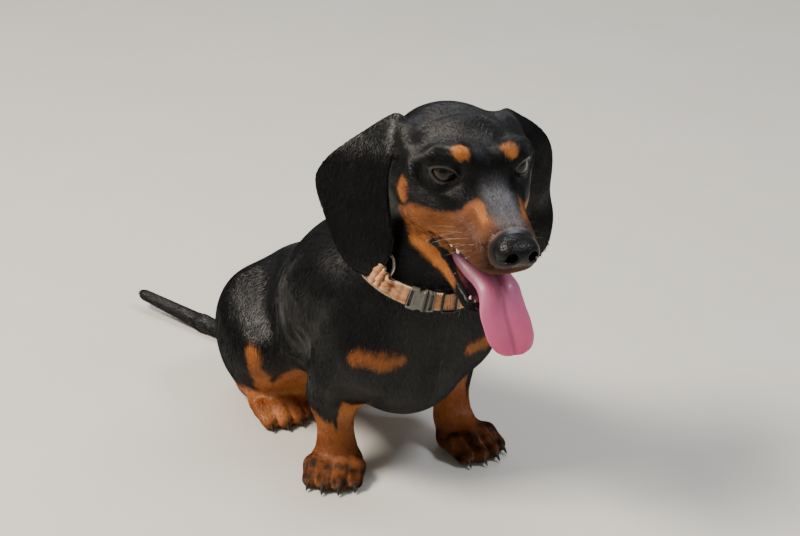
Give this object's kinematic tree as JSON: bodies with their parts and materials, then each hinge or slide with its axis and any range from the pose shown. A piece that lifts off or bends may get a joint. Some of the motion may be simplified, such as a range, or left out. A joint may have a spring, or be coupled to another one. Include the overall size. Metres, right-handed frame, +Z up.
{
  "type": "dachshund puppy, sitting, with a collar",
  "caption": "A smooth black and tan dachshund puppy, sitting upright with its mouth open and its tongue out, wearing a webbing collar; a still, life-size model.",
  "frame": {"origin": "the middle of the whole model's box, at floor level", "axes": "+Y to the dog's rear, +X to the dog's left, +Z up; the dog faces -Y"},
  "size_m": [0.1776, 0.4456, 0.256],
  "materials": {
    "black_coat": "smooth black coat, glossy",
    "tan_coat": "smooth rust-tan coat",
    "eye": "wet dark brown eye",
    "nose_leather": "moist grained black leather",
    "tongue": "wet pink tongue",
    "webbing": "ribbed peach-tan webbing",
    "grey_plastic": "satin grey moulded plastic",
    "dark_metal": "dark plated steel",
    "wire": "bright welded wire"
  },
  "bodies": {
    "root": {"torso": "black_coat", "neck": "black_coat", "head": "black_coat", "lower_jaw": "black_coat", "tail": "black_coat", "ear_left": "black_coat", "ear_right": "black_coat", "hindleg_left": "black_coat", "hindleg_right": "black_coat", "foreleg_left": "tan_coat", "foreleg_right": "tan_coat", "forepaw_left": "tan_coat", "forepaw_right": "tan_coat", "hindpaw_left": "tan_coat", "hindpaw_right": "tan_coat", "eye_left": "eye", "eye_right": "eye", "nose": "nose_leather", "tongue": "tongue", "collar_band": "webbing", "collar_fold": "webbing", "buckle_socket": "grey_plastic", "buckle_plug": "grey_plastic", "strap_slider": "dark_metal", "collar_ring": "wire"}
  },
  "joints": []
}
